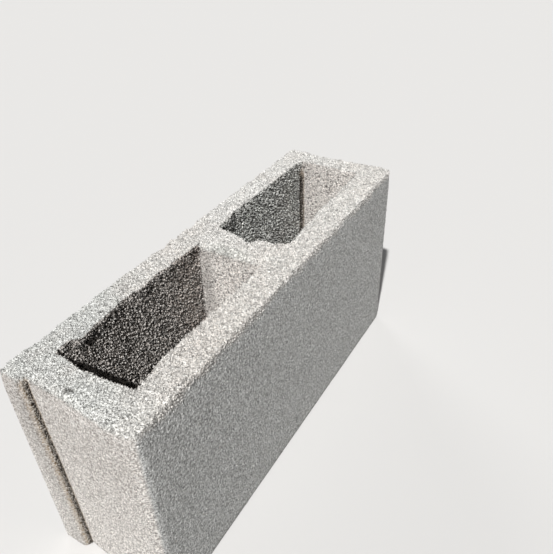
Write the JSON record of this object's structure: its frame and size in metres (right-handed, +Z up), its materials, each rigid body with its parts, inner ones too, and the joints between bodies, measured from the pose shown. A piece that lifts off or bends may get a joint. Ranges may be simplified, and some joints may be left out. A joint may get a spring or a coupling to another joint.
{
  "type": "hollow concrete block",
  "caption": "Hollow concrete block cast in one piece, with two tapered cores right through and a stepped panel beside a full-height ear at each end.",
  "frame": {"origin": "centre of the block's outer box, on the bed face that it stands on", "axes": "+X along the block, +Y towards the face shell with the ears, +Z up towards the struck top"},
  "size_m": [0.4, 0.12, 0.195],
  "materials": {
    "concrete": "dry cast concrete, open sandy grain, pale grey"
  },
  "bodies": {
    "root": {"concrete_block": "concrete"}
  },
  "joints": []
}
